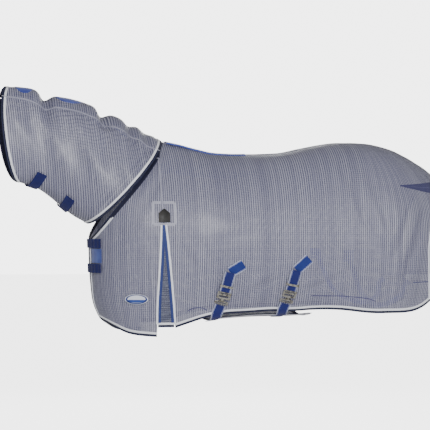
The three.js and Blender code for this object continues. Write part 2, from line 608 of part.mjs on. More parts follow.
// The spring bolt lies on the shank and closes the mouth of the bow; a thumb knob pulls it back.
const BOLT_HALF = 2;
const boltLevel = SHANK_HALF + GAP + BOLT_HALF;
const boltTip = BOW.centre + BOW.outer * cos(BOW.tip) - 2.2;
const boltCorners = [[22, -1], [boltTip, -1], [boltTip, 1], [30, 1], [30, 3], [26, 3], [26, 1], [22, 1]];
const boltOutline = new THREE.Shape(
  boltCorners.map(([x, y]) => new THREE.Vector2(x, boltLevel + y * BOLT_HALF)),
);
addPair("leg_snap_bolt", onEdge(boltOutline, SNAP_THICK - 2), METAL);

const inside = (x, z, depth) => vec(x, -halfWidth(x, z) + depth, z);
const BETWEEN_LEGS = 140;
const legPath = [
  inside(LEG_PATCH.x + 4, LEG_PATCH.z, 24),
  inside(LEG_PATCH.x + 34, -HEM_DROP + 162, 26),
  inside(LEG_PATCH.x + 76, -HEM_DROP + 72, 32),
  vec(LEG_PATCH.x + 140, -BETWEEN_LEGS - 50, -HEM_DROP + 22),
  vec(LEG_PATCH.x + 220, -BETWEEN_LEGS, -HEM_DROP + 10),
  vec(mix(LEG_PATCH.x + 220, snapAt.x, 0.6), mix(-BETWEEN_LEGS, snapAt.y, 0.6), -HEM_DROP + 54),
  vec(snapAt.x - 30, snapAt.y, RING_LEVEL - 16),
  vec(snapAt.x - 8, snapAt.y, RING_LEVEL),
];
addPair("leg_strap", strap(legPath, () => vec(0, -1, 0), LEG_WEBBING, WEBBING_THICK, 24), NAVY);

export default model;
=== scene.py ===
# %% [markdown]
# # A fly sheet for a horse
#
# The sheet is sewn from panels of coated mesh cloth, bound with navy tape and closed with
# webbing, touch tape and small metal fittings. The frame gives every panel's true place and
# size as a coarse solid. This lesson takes each panel's outer face from the frame, makes it a
# fine single sheet, gathers and drapes it, and only then gives it the thickness of cloth.

# %% Load the frame
import math

import bmesh
import bpy
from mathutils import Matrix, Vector, noise
from mathutils.bvhtree import BVHTree


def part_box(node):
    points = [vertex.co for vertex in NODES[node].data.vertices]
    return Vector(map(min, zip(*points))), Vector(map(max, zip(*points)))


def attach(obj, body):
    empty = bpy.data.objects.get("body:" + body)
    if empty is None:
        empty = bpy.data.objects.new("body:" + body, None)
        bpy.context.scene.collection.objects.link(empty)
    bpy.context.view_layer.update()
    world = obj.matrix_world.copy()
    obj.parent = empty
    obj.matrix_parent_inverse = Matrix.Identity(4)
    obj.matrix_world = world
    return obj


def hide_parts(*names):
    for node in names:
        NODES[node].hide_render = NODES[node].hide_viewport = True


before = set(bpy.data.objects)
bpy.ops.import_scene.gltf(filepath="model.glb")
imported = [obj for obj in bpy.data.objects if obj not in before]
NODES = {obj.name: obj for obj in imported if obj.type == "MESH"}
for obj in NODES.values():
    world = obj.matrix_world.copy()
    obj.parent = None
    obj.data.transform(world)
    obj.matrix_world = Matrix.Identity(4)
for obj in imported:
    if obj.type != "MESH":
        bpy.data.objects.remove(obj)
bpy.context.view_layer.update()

# %% [markdown]
# ## Camera, floor and light
#
# A long lens from the near side, a little towards the head, keeps the sheet's true
# proportions. Two large soft lamps and a pale room give the coated cloth its broad sheen.

# %% Camera
LOOK_AT = Vector((-0.200, 0.0, -0.286))
CAMERA_AZIMUTH = math.radians(-12)
CAMERA_DISTANCE = 9.0
FRAME_WIDTH = 2.042           # metres across the picture at the middle of the sheet

towards_camera = Vector((math.sin(CAMERA_AZIMUTH), -math.cos(CAMERA_AZIMUTH), 0.0))
camera_data = bpy.data.cameras.new("camera")
camera_data.sensor_width = 36.0
camera_data.lens = camera_data.sensor_width * CAMERA_DISTANCE / FRAME_WIDTH
camera = bpy.data.objects.new("camera", camera_data)
camera.location = LOOK_AT + towards_camera * CAMERA_DISTANCE
camera.rotation_euler = towards_camera.to_track_quat("Z", "Y").to_euler()
bpy.context.scene.collection.objects.link(camera)
bpy.context.scene.camera = camera
print("lens", round(camera_data.lens, 1), "mm")

# %% Floor and light
FLOOR_LEVEL = -1.50           # where the horse's feet would stand


def plain_material(name, color, roughness):
    material = bpy.data.materials.new(name)
    material.use_nodes = True
    shader = material.node_tree.nodes["Principled BSDF"]
    shader.inputs["Base Color"].default_value = (*color, 1)
    shader.inputs["Roughness"].default_value = roughness
    return material


def seen_brighter(tree, strength_socket, seen, lighting):
    """Makes a surface brighter where the camera sees it plainly, not through a hole, than as a lamp."""
    path = tree.nodes.new("ShaderNodeLightPath")
    plain = tree.nodes.new("ShaderNodeMath")
    plain.operation = "GREATER_THAN"
    tree.links.new(path.outputs["Is Camera Ray"], plain.inputs[0])
    tree.links.new(path.outputs["Transparent Depth"], plain.inputs[1])
    level = tree.nodes.new("ShaderNodeMapRange")
    level.inputs["To Min"].default_value = lighting
    level.inputs["To Max"].default_value = seen
    tree.links.new(plain.outputs[0], level.inputs["Value"])
    tree.links.new(level.outputs[0], strength_socket)


floor_paint = plain_material("floor_paint", (0.93, 0.93, 0.93), 0.9)
floor_shader = floor_paint.node_tree.nodes["Principled BSDF"]
floor_shader.inputs["Emission Color"].default_value = (1, 1, 1, 1)
seen_brighter(floor_paint.node_tree, floor_shader.inputs["Emission Strength"], 3.6, 0.0)
floor_bm = bmesh.new()
bmesh.ops.create_circle(floor_bm, cap_ends=True, segments=64, radius=30.0)
bmesh.ops.translate(floor_bm, verts=floor_bm.verts, vec=(0, 0, FLOOR_LEVEL))
floor_mesh = bpy.data.meshes.new("floor")
floor_bm.to_mesh(floor_mesh)
floor_bm.free()
floor = bpy.data.objects.new("floor", floor_mesh)
floor_mesh.materials.append(floor_paint)
bpy.context.scene.collection.objects.link(floor)

world = bpy.data.worlds.new("room")
world.use_nodes = True
world.node_tree.nodes["Background"].inputs["Color"].default_value = (1, 1, 1, 1)
seen_brighter(world.node_tree, world.node_tree.nodes["Background"].inputs["Strength"], 4.6, 0.36)
bpy.context.scene.world = world


def soft_lamp(name, place, width, height, watts):
    data = bpy.data.lights.new(name, "AREA")
    data.shape = "RECTANGLE"
    data.size, data.size_y = width, height
    data.energy = watts
    lamp = bpy.data.objects.new(name, data)
    lamp.location = place
    lamp.rotation_euler = (Vector(place) - Vector((0, 0, -0.3))).to_track_quat("Z", "Y").to_euler()
    bpy.context.scene.collection.objects.link(lamp)


soft_lamp("key_lamp", (-1.0, -3.6, 0.5), 1.2, 0.9, 84)
soft_lamp("side_lamp", (2.2, -3.2, 0.2), 0.9, 1.2, 32)
soft_lamp("far_lamp", (0.4, 3.8, 0.8), 2.0, 1.6, 45)
print("lamps set")

# %% [markdown]
# ## Finishes
#
# The cloth is a plastic-coated yarn woven with open holes, so it needs a weave that follows
# the cloth and not the room. Every sheet therefore carries a UV map named `cloth`, in metres:
# U runs across the pinstripes and V runs along them. One node group turns that map into the
# pinstripe colour, the holes and the height of the yarns.

# %% Small tools for node trees


class Tree:
    """Adds and links nodes with few words."""

    def __init__(self, tree):
        self.tree = tree

    def add(self, kind, **values):
        node = self.tree.nodes.new(kind)
        for key, value in values.items():
            setattr(node, key, value)
        return node

    def link(self, a, b):
        self.tree.links.new(a, b)

    def put(self, socket, value):
        if hasattr(value, "is_output"):
            self.link(value, socket)
        else:
            socket.default_value = value

    def math(self, operation, a, b=0.0, c=0.0):
        node = self.add("ShaderNodeMath", operation=operation)
        for socket, value in zip(node.inputs, (a, b, c)):
            self.put(socket, value)
        return node.outputs[0]

    def mix(self, factor, a, b):
        node = self.add("ShaderNodeMix", data_type="RGBA")
        self.put(node.inputs["Factor"], factor)
        self.put(node.inputs[6], a)
        self.put(node.inputs[7], b)
        return node.outputs[2]

    def step(self, value, low, high, out_low=0.0, out_high=1.0):
        node = self.add("ShaderNodeMapRange", interpolation_type="SMOOTHSTEP")
        for name, given in (("Value", value), ("From Min", low), ("From Max", high),
                            ("To Min", out_low), ("To Max", out_high)):
            self.put(node.inputs[name], given)
        return node.outputs[0]

    def noise(self, vector, scale, detail=2.0):
        node = self.add("ShaderNodeTexNoise")
        self.link(vector, node.inputs["Vector"])
        node.inputs["Scale"].default_value = scale
        node.inputs["Detail"].default_value = detail
        return node.outputs["Fac"]


def group(name, inputs, outputs, build):
    tree = bpy.data.node_groups.new(name, "ShaderNodeTree")
    for label, kind, value in inputs:
        socket = tree.interface.new_socket(label, in_out="INPUT", socket_type=kind)
        if value is not None:
            socket.default_value = value
    for label, kind in outputs:
        tree.interface.new_socket(label, in_out="OUTPUT", socket_type=kind)
    source = tree.nodes.new("NodeGroupInput")
    sink = tree.nodes.new("NodeGroupOutput")
    results = build(Tree(tree), source.outputs)
    for label, value in results.items():
        tree.links.new(value, sink.inputs[label])
    return tree


def rgb(r, g, b):
    """A colour given as it looks on a screen, 0 to 255."""
    def linear(c):
        c /= 255
        return c / 12.92 if c < 0.04045 else ((c + 0.055) / 1.055) ** 2.4
    return (linear(r), linear(g), linear(b), 1)


# %% The pinstripe weave
STRIPE_PITCH, YARN_PITCH = 0.0104, 0.0026


def build_weave(t, given):
    split = t.add("ShaderNodeSeparateXYZ")
    t.link(given["Cloth"], split.inputs[0])
    across, along = split.outputs["X"], split.outputs["Y"]
    wobble = t.noise(given["Cloth"], 9.0)
    across = t.math("ADD", across, t.math("MULTIPLY", t.math("SUBTRACT", wobble, 0.5), 0.004))

    def stripe(pitch, offset, width):
        phase = t.math("FRACT", t.math("ADD", t.math("DIVIDE", across, pitch), offset))
        from_line = t.math("ABSOLUTE", t.math("SUBTRACT", phase, 0.5))
        return t.step(from_line, width, width * 1.8, 1.0, 0.0)

    dark = stripe(STRIPE_PITCH, 0.0, 0.12)
    dark_fine = stripe(STRIPE_PITCH / 2, 0.25, 0.13)
    pale = stripe(STRIPE_PITCH, 0.5, 0.10)
    patchy = t.step(t.noise(given["Cloth"], 3.1, 3.0), 0.3, 0.7)
    by_stripe = t.add("ShaderNodeTexWhiteNoise", noise_dimensions="1D")
    t.link(t.math("FLOOR", t.math("DIVIDE", across, STRIPE_PITCH)), by_stripe.inputs["W"])
    luck = by_stripe.outputs["Value"]
    color = t.mix(t.math("MULTIPLY", dark_fine, 0.45), given["Yarn"], given["Stripe"])
    color = t.mix(t.math("MULTIPLY", pale, t.step(luck, 0.0, 1.0, 0.2, 0.9)), color, given["Pale"])
    color = t.mix(t.math("MULTIPLY", dark, t.step(patchy, 0.0, 1.0, 0.6, 0.95)), color, given["Stripe"])
    row = t.math("FRACT", t.math("DIVIDE", along, STRIPE_PITCH))
    band = t.math("ABSOLUTE", t.math("SUBTRACT", row, 0.5))
    color = t.mix(t.math("MULTIPLY", t.step(band, 0.10, 0.20, 0.45, 0.0), t.step(patchy, 0.0, 1.0, 1.0, 0.3)),
                  color, given["Stripe"])

    def thread(value):
        wave = t.math("SINE", t.math("MULTIPLY", value, 2 * math.pi / YARN_PITCH))
        return t.math("MULTIPLY_ADD", wave, 0.5, 0.5)

    warp, weft = thread(across), thread(along)
    yarns = t.math("MAXIMUM", warp, weft)
    cover = t.step(yarns, t.math("SUBTRACT", given["Openness"], 0.2), t.math("ADD", given["Openness"], 0.2))
    slub = t.step(t.noise(given["Cloth"], 260.0, 1.0), 0.35, 0.75)
    color = t.mix(t.math("MULTIPLY", slub, 0.25), color, given["Pale"])
    return {"Color": color, "Cover": cover, "Height": yarns}


WEAVE = group(
    "pinstripe_weave",
    [("Cloth", "NodeSocketVector", None), ("Yarn", "NodeSocketColor", rgb(150, 150, 164)),
     ("Stripe", "NodeSocketColor", rgb(74, 74, 92)), ("Pale", "NodeSocketColor", rgb(212, 212, 222)),
     ("Openness", "NodeSocketFloat", 0.35)],
    [("Color", "NodeSocketColor"), ("Cover", "NodeSocketFloat"), ("Height", "NodeSocketFloat")],
    build_weave,
)


def cloth_map(t):
    return t.add("ShaderNodeUVMap", uv_map="cloth").outputs[0]


def new_material(name, roughness=0.6, metallic=0.0):
    material = bpy.data.materials.new(name)
    material.use_nodes = True
    t = Tree(material.node_tree)
    shader = material.node_tree.nodes["Principled BSDF"]
    shader.inputs["Roughness"].default_value = roughness
    shader.inputs["Metallic"].default_value = metallic
    return material, t, shader


def bump(t, shader, height, distance, strength):
    node = t.add("ShaderNodeBump")
    node.inputs["Distance"].default_value = distance
    node.inputs["Strength"].default_value = strength
    t.link(height, node.inputs["Height"])
    t.link(node.outputs[0], shader.inputs["Normal"])


def mesh_cloth(name, yarn, stripe, pale, openness):
    material, t, shader = new_material(name, 0.42)
    shader.inputs["Specular IOR Level"].default_value = 0.6
    shader.inputs["Coat Weight"].default_value = 0.28
    shader.inputs["Coat Roughness"].default_value = 0.28
    weave = t.add("ShaderNodeGroup", node_tree=WEAVE)
    t.link(cloth_map(t), weave.inputs["Cloth"])
    weave.inputs["Yarn"].default_value = yarn
    weave.inputs["Stripe"].default_value = stripe
    weave.inputs["Pale"].default_value = pale
    weave.inputs["Openness"].default_value = openness
    t.link(weave.outputs["Color"], shader.inputs["Base Color"])
    t.link(weave.outputs["Cover"], shader.inputs["Alpha"])
    bump(t, shader, weave.outputs["Height"], 0.0006, 0.35)
    return material


BODY_CLOTH = mesh_cloth("body_cloth", rgb(134, 134, 161), rgb(46, 47, 84), rgb(216, 216, 232), 0.55)
# painted shade: the gusset cloth's yarn, stripe and pale colours are darker than the body cloth's to stand
# for the shade inside the shoulder pleat; its cross stripes and closer weave are its own
SHADED_GUSSET_CLOTH = mesh_cloth("gusset_cloth", rgb(66, 71, 98), rgb(20, 26, 62), rgb(138, 142, 164), 0.45)
print("cloth finishes:", BODY_CLOTH.name, SHADED_GUSSET_CLOTH.name)

# %% [markdown]
# Tape and webbing are ribbed across their length. Their UV map is in metres too, with U along
# the tape and V across it from the middle, so the ribs, the piping and the rows of stitches
# keep their real width on every piece.

# %% Tape, webbing and other soft finishes


def build_ribs(t, given):
    split = t.add("ShaderNodeSeparateXYZ")
    t.link(given["Cloth"], split.inputs[0])
    along, across = split.outputs["X"], split.outputs["Y"]
    ribs = t.math("SINE", t.math("MULTIPLY", along, 2 * math.pi / 0.0016))
    threads = t.math("SINE", t.math("MULTIPLY", across, 2 * math.pi / 0.0022))
    height = t.math("MULTIPLY_ADD", t.math("ADD", ribs, threads), 0.25, 0.5)
    side = t.math("ABSOLUTE", across)
    row = t.math("ABSOLUTE", t.math("SUBTRACT", side, given["Row"]))
    dash = t.step(t.math("FRACT", t.math("DIVIDE", along, 0.0036)), 0.58, 0.64, 1.0, 0.0)
    stitch = t.math("MULTIPLY", t.step(row, 0.0004, 0.0007, 1.0, 0.0), dash)
    fade = t.noise(given["Cloth"], 40.0, 3.0)
    color = t.mix(t.step(fade, 0.3, 0.8, 0.0, 0.35), given["Dye"], given["Worn"])
    color = t.mix(t.math("MULTIPLY", t.step(side, given["Line"], t.math("ADD", given["Line"], 0.0006)),
                         given["Line Strength"]), color, given["Thread"])
    color = t.mix(stitch, color, given["Thread"])
    height = t.math("ADD", height, t.math("MULTIPLY", stitch, 1.2))
    return {"Color": color, "Height": height}


RIBS = group(
    "ribbed_tape",
    [("Cloth", "NodeSocketVector", None), ("Dye", "NodeSocketColor", rgb(24, 44, 110)),
     ("Worn", "NodeSocketColor", rgb(40, 62, 134)), ("Thread", "NodeSocketColor", rgb(190, 196, 222)),
     ("Row", "NodeSocketFloat", 0.02), ("Line", "NodeSocketFloat", 0.0235),
     ("Line Strength", "NodeSocketFloat", 0.0)],
    [("Color", "NodeSocketColor"), ("Height", "NodeSocketFloat")],
    build_ribs,
)


def ribbed(name, dye, worn, thread, row, line=1.0, line_strength=0.0, roughness=0.75):
    material, t, shader = new_material(name, roughness)
    shader.inputs["Sheen Weight"].default_value = 0.08
    ribs = t.add("ShaderNodeGroup", node_tree=RIBS)
    t.link(cloth_map(t), ribs.inputs["Cloth"])
    for label, value in (("Dye", dye), ("Worn", worn), ("Thread", thread), ("Row", row), ("Line", line),
                         ("Line Strength", line_strength)):
        ribs.inputs[label].default_value = value
    t.link(ribs.outputs["Color"], shader.inputs["Base Color"])
    bump(t, shader, ribs.outputs["Height"], 0.0004, 0.6)
    return material


WHITE_THREAD = rgb(214, 220, 244)
NAVY_WEBBING = ribbed("navy_webbing", rgb(5, 18, 96), rgb(12, 32, 118), WHITE_THREAD, 0.0195, 0.0222, 0.8)
ANCHOR_WEBBING = ribbed("anchor_webbing", rgb(13, 36, 116), rgb(26, 54, 134), WHITE_THREAD, 0.0195, 0.0222,
                        0.9)
LEG_WEBBING = ribbed("leg_webbing", rgb(18, 48, 168), rgb(34, 70, 190), WHITE_THREAD, 0.0095)
TAB_TAPE = ribbed("tab_tape", rgb(4, 15, 84), rgb(9, 27, 106), rgb(24, 44, 124), 0.017, roughness=0.85)
EDGE_TAPE = ribbed("edge_tape", rgb(10, 14, 46), rgb(18, 24, 66), rgb(50, 60, 110), 0.011, roughness=0.7)
PIPING = ribbed("piping", rgb(244, 246, 255), rgb(252, 253, 255), rgb(206, 212, 238), 0.5, roughness=0.5)
INNER_BAND = ribbed("inner_band", rgb(22, 42, 108), rgb(38, 58, 124), rgb(80, 98, 160), 0.004, roughness=0.6)
SEAM_TAPE = ribbed("seam_tape", rgb(128, 128, 150), rgb(150, 150, 168), rgb(214, 214, 228), 0.0012,
                   roughness=0.55)
PALE_SEAM = ribbed("pale_seam", rgb(160, 160, 178), rgb(184, 184, 200), rgb(226, 226, 236), 0.004,
                   roughness=0.55)
DARK_SEAM = ribbed("dark_seam", rgb(58, 58, 100), rgb(78, 78, 120), rgb(110, 110, 150), 0.0012, roughness=0.6)


def lining(name, color, painted_sheen):
    material, t, shader = new_material(name, 0.45)
    shader.inputs["Sheen Weight"].default_value = 0.4
    # painted sheen: lighter patches of the lining and the loop tape where their ripples would catch the light
    sheen_ripple = t.noise(cloth_map(t), 26.0, 3.0)
    t.link(t.mix(t.step(sheen_ripple, 0.3, 0.7), color, painted_sheen), shader.inputs["Base Color"])
    bump(t, shader, t.noise(cloth_map(t), 700.0, 1.0), 0.0002, 0.4)
    return material


BLUE_LINING = lining("blue_lining", rgb(24, 50, 152), rgb(42, 70, 172))
LOOP_TAPE = lining("loop_tape", rgb(36, 60, 144), rgb(58, 84, 164))


def leather(name):
    material, t, shader = new_material(name, 0.5)
    coords = t.add("ShaderNodeTexCoord").outputs["Object"]
    cells = t.add("ShaderNodeTexVoronoi")
    t.link(coords, cells.inputs["Vector"])
    cells.inputs["Scale"].default_value = 420.0
    tone = t.noise(coords, 60.0, 4.0)
    t.link(t.mix(t.step(tone, 0.35, 0.7), rgb(12, 11, 11), rgb(30, 26, 24)), shader.inputs["Base Color"])
    t.link(t.step(tone, 0.2, 0.8, 0.4, 0.65), shader.inputs["Roughness"])
    bump(t, shader, cells.outputs["Distance"], 0.0004, 0.5)
    return material


BLACK_LEATHER = leather("black_leather")


def worn_metal(name, bright, dull):
    material, t, shader = new_material(name, 0.35, 1.0)
    coords = t.add("ShaderNodeTexCoord").outputs["Object"]
    cloud = t.noise(coords, 90.0, 4.0)
    scratch = t.noise(coords, 900.0, 2.0)
    t.link(t.mix(t.step(cloud, 0.4, 0.7), bright, dull), shader.inputs["Base Color"])
    t.link(t.step(scratch, 0.2, 0.8, 0.25, 0.5), shader.inputs["Roughness"])
    bump(t, shader, scratch, 0.0001, 0.3)
    return material


PLATED_STEEL = worn_metal("plated_steel", rgb(176, 173, 164), rgb(88, 84, 76))
print("finishes:", len(bpy.data.materials))

# %% [markdown]
# ## From frame solid to cloth
#
# A panel in the frame is a slab of loose triangles. Merged, it falls into an outer face, an inner face
# and a rim, because the rim meets both faces at a sharp corner. Keeping only the outer face,
# joining its triangles to squares and subdividing them gives a smooth single sheet whose
# edges lie exactly where the frame has them.

# %% Take the outer face of a slab
SHARP = math.radians(50)


def islands(bm, sharp):
    """Groups of faces that meet at less than a sharp corner."""
    left, found = set(bm.faces), []
    while left:
        stack = [left.pop()]
        island = list(stack)
        while stack:
            for edge in stack.pop().edges:
                if len(edge.link_faces) != 2 or edge.calc_face_angle(0.0) > sharp:
                    continue
                for face in edge.link_faces:
                    if face in left:
                        left.remove(face)
                        stack.append(face)
                        island.append(face)
        found.append(island)
    return sorted(found, key=lambda faces: -sum(f.calc_area() for f in faces))


def outer_face(node, centre, sharp=SHARP):
    """The slab's face that looks away from centre(point), as a bmesh of squares."""
    bm = bmesh.new()
    bm.from_mesh(NODES[node].data)
    bmesh.ops.remove_doubles(bm, verts=bm.verts, dist=2e-5)
    best = max(islands(bm, sharp)[:2], key=lambda faces: sum(
        f.normal.dot(f.calc_center_median() - centre(f.calc_center_median())) * f.calc_area() for f in faces))
    keep = set(best)
    bmesh.ops.delete(bm, geom=[f for f in bm.faces if f not in keep], context="FACES")
    bmesh.ops.join_triangles(bm, faces=bm.faces, angle_face_threshold=0.9, angle_shape_threshold=3.1)
    return bm


def trunk_centre(p):
    return Vector((min(max(p.x, -0.45), 0.55), 0, -0.35))


def neck_centre(p):
    t = min(max((p.x + 1.17) / 0.6, 0), 1)
    return Vector((p.x, 0, 0.08 - 0.2 * t))


def smooth_sheet(bm, levels):
    """Subdivides the sheet with rounded faces and kept corners."""
    mesh = bpy.data.meshes.new("coarse")
    bm.to_mesh(mesh)
    bm.free()
    obj = bpy.data.objects.new("coarse", mesh)
    bpy.context.scene.collection.objects.link(obj)
    surface = obj.modifiers.new("smooth", "SUBSURF")
    surface.levels = surface.render_levels = levels
    surface.boundary_smooth = "PRESERVE_CORNERS"
    evaluated = obj.evaluated_get(bpy.context.evaluated_depsgraph_get())
    fine = bmesh.new()
    fine.from_mesh(evaluated.to_mesh())
    evaluated.to_mesh_clear()
    bpy.data.objects.remove(obj)
    bpy.data.meshes.remove(mesh)
    fine.normal_update()
    return fine


# %% [markdown]
# The cloth map is worked out like a tape measure laid on the cloth: straight along the flank,
# and round the curve at the chest and the buttocks.

# %% Cloth maps
SHOULDER_X, CHEST_ROUND = -0.480, (0.320, 0.268)
HIP_X, RUMP_ROUND = 0.480, (0.485, 0.305)


def arc_length(angle, radii, steps=12):
    """Length round an ellipse from its broad side to an angle."""
    a, b = radii
    width = angle / steps
    return sum(math.hypot(a * math.cos(width * (i + 0.5)), b * math.sin(width * (i + 0.5))) * width
               for i in range(steps))


def flank_map(p):
    side = abs(p.y)
    if p.x < SHOULDER_X:
        angle = math.atan2((SHOULDER_X - p.x) / CHEST_ROUND[0], side / CHEST_ROUND[1])
        u = SHOULDER_X - arc_length(angle, CHEST_ROUND)
    elif p.x > HIP_X:
        angle = math.atan2((p.x - HIP_X) / RUMP_ROUND[0], side / RUMP_ROUND[1])
        u = HIP_X + arc_length(angle, RUMP_ROUND)
    else:
        u = p.x
    v = 0.37 * math.atan2(side, max(p.z + 0.36, 0)) + max(-0.36 - p.z, 0)
    return (u, v)


def neck_map(p):
    return (p.x + 0.10 * p.z, p.z + abs(p.y))


def top_map(p):
    return (p.x, p.y)


def rear_map(p):
    return (p.y * 1.15, p.z)


def gusset_map(p):
    return (p.z * 1.2, p.x)


# %% [markdown]
# Cloth on a horse is never a bare mathematical curve. Long shallow folds fall from the
# withers and the croup, and the crest of the hood is gathered by elastic, so that it
# stands in lumps between the gathers. Both are pushed in along the sheet's own normals.

# %% Drape


def folds(p, size, stretch, seed):
    """Smooth noise, longer along the given axis, from -1 to 1."""
    q = Vector((p.x * stretch[0], p.y * stretch[1], p.z * stretch[2])) / size
    return noise.noise(q + Vector((seed * 7.3, seed * 3.1, seed * 5.7)))


# where the cloth pulls: station, height, slope of the folds, reach, pitch and depth
PULLS = (
    (-0.53, -0.14, 64, 0.10, 0.070, 0.0035),
    (-0.37, -0.47, -44, 0.15, 0.088, 0.0050),
    (-0.10, -0.34, 24, 0.14, 0.120, 0.0030),
    (-0.04, -0.60, 38, 0.11, 0.080, 0.0035),
    (0.27, -0.58, 34, 0.13, 0.075, 0.0045),
    (0.46, -0.24, -62, 0.20, 0.105, 0.0045),
    (0.68, -0.45, 80, 0.18, 0.090, 0.0040),
)


def pulled(p, x, z, slope, reach, pitch, depth):
    """One set of parallel folds that fades out away from its middle."""
    s, c = math.sin(math.radians(slope)), math.cos(math.radians(slope))
    along = (p.x - x) * c + (p.z - z) * s
    across = (p.z - z) * c - (p.x - x) * s
    fade = math.exp(-(along / reach) ** 2 - (across / (0.55 * reach)) ** 2)
    bend = 0.02 * math.sin(along * 9)
    return depth * fade * math.sin((across + bend) * 2 * math.pi / pitch)


MOST_OUTWARD = 0.0035         # the most that a fold stands out from its panel


def trunk_drape(p):
    depth = 0.0034 * folds(p, 0.24, (1.5, 1, 0.55), 1) + 0.0016 * folds(p, 0.09, (1.4, 1, 0.6), 2)
    depth += sum(pulled(p, *pull) for pull in PULLS)
    low = math.exp(-((p.z + 0.68) / 0.10) ** 2)
    depth += 0.0022 * low * math.sin((p.x + 0.35 * p.z) * 2 * math.pi / 0.19)
    return depth if depth < 0 else MOST_OUTWARD * math.tanh(depth / MOST_OUTWARD)


# Elastic gathers the crest at these stations, each drawn down by so much.
GATHERS = ((-1.010, 0.031), (-0.742, 0.033), (-0.617, 0.021), (-0.544, 0.012))


def below_crest(p):
    line = 0.301 if p.x < -1.10 else 0.301 - 0.384 * (p.x + 1.10) - 0.04 * math.sin((p.x + 1.10) * 5.0)
    return line - p.z


def hood_drape(p):
    under = below_crest(p)
    lump = 0.008 - sum(depth * math.exp(-((p.x - x) / 0.026) ** 2) for x, depth in GATHERS)
    depth = lump * math.exp(-(max(under, 0) / 0.10) ** 2)
    pull = math.sin((p.x + 0.42 * (p.z + 0.1)) * 2 * math.pi / 0.135)
    depth += 0.0040 * pull * math.exp(-((under - 0.16) / 0.15) ** 2)
    depth += 0.004 * folds(p, 0.16, (1.6, 1, 0.6), 3) + 0.0018 * folds(p, 0.06, (1.2, 1, 0.8), 4)
    flat_at_throat = min(max((0.39 - under) / 0.06, 0), 1)
    return depth * flat_at_throat


# The mane seam runs unevenly: it rises or dips at these stations, by so much, over this reach.
SEAM_WAVES = ((-1.030, -0.012, 0.050), (-0.865, 0.010, 0.030), (-0.742, 0.034, 0.034),
              (-0.565, -0.014, 0.030))


def hood_gather(p):
    """Moves the cloth near the mane seam up or down."""
    lift = sum(height * math.exp(-((p.x - x) / reach) ** 2) for x, height, reach in SEAM_WAVES)
    return Vector((0, 0, lift * math.exp(-((below_crest(p) - 0.055) / 0.045) ** 2)))


def flap_drape(p):
    fall = min((-0.12 - p.z) / 0.4, 1)
    return 0.006 * math.sin(p.y * 2 * math.pi / 0.17) * fall + 0.002 * folds(p, 0.1, (1, 1, 1), 5)


def belly_drape(p):
    return 0.003 * folds(p, 0.15, (1, 1, 1), 6)


# %% Finish a sheet
SHEETS = {}


def put_map(bm, cloth):
    layer = bm.loops.layers.uv.new("cloth")
    for face in bm.faces:
        for loop in face.loops:
            loop[layer].uv = cloth(loop.vert.co)


def to_object(name, bm, materials):
    mesh = bpy.data.meshes.new(name)
    bm.to_mesh(mesh)
    bm.free()
    for face in mesh.polygons:
        face.use_smooth = True
    for material in materials:
        mesh.materials.append(material)
    obj = bpy.data.objects.new(name, mesh)
    bpy.context.scene.collection.objects.link(obj)
    return obj


CLOTH_THICKNESS = 0.0009


def cloth_piece(name, node, body, material, centre, cloth, drape, levels=3,
                gather=None):
    """A finished sheet that stands for one of the frame's panels."""
    bm = smooth_sheet(outer_face(node, centre), levels)
    put_map(bm, cloth)
    flat = [v.co.copy() for v in bm.verts]
    moves = [(v, v.normal * drape(v.co) + (gather(v.co) if gather else Vector())) for v in bm.verts]
    for vert, move in moves:
        vert.co += move
    bm.normal_update()
    SHEETS[name] = (bm.copy(), flat)
    area = sum(f.calc_area() for f in bm.faces)
    maps = [cloth(v.co) for v in bm.verts]
    obj = to_object(name, bm, [material])
    wall = obj.modifiers.new("cloth_thickness", "SOLIDIFY")
    wall.thickness = CLOTH_THICKNESS
    wall.offset = -1
    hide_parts(node)
    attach(obj, body)


# %% Body, shoulders and gussets
for side in ("near", "off"):
    cloth_piece(f"{side}_body_cloth", f"{side}_body_panel", "sheet", BODY_CLOTH, trunk_centre, flank_map,
                trunk_drape)
    cloth_piece(f"{side}_shoulder_cloth", f"{side}_shoulder_panel", "sheet", BODY_CLOTH, trunk_centre,
                flank_map, trunk_drape)
    cloth_piece(f"{side}_gusset_cloth", f"{side}_gusset", "sheet", SHADED_GUSSET_CLOTH, trunk_centre, gusset_map,
                lambda p: 0.0, levels=2)

# %% Hood
for side in ("near", "off"):
    cloth_piece(f"{side}_hood_cloth", f"{side}_hood_panel", "hood", BODY_CLOTH, neck_centre, neck_map,
                hood_drape, gather=hood_gather)
cloth_piece("crest_cloth", "crest_panel", "hood", BODY_CLOTH, neck_centre, top_map, hood_drape,
            gather=hood_gather)

# %% Belly wrap, tail flap and linings
cloth_piece("belly_wrap_cloth", "belly_wrap", "belly_wrap", BODY_CLOTH, trunk_centre, top_map, belly_drape)
cloth_piece("tail_flap_cloth", "tail_flap", "tail_flap", BODY_CLOTH, trunk_centre, rear_map, flap_drape)
cloth_piece("wither_lining_cloth", "wither_lining", "sheet", BLUE_LINING, trunk_centre, top_map,
            lambda p: 0.0)
cloth_piece("spine_cloth", "spine_band", "sheet", BODY_CLOTH, trunk_centre, top_map, trunk_drape)
cloth_piece("crest_lining_cloth", "crest_lining", "hood", BLUE_LINING, neck_centre, top_map,
            hood_drape)
print("sheets:", len(SHEETS))

# %% [markdown]
# ## Bindings
#
# Every raw edge of the mesh is folded into a navy tape, and a pale piping shows along the
# tape's inner side. Each binding is drawn the way it is sewn: its outline is carried along
# the sheet's own edge, ring by ring, so that it follows every drape of the cloth.

# %% Runs along a sheet's edge
CORNER = math.radians(38)
BINDING_STEP = 0.010


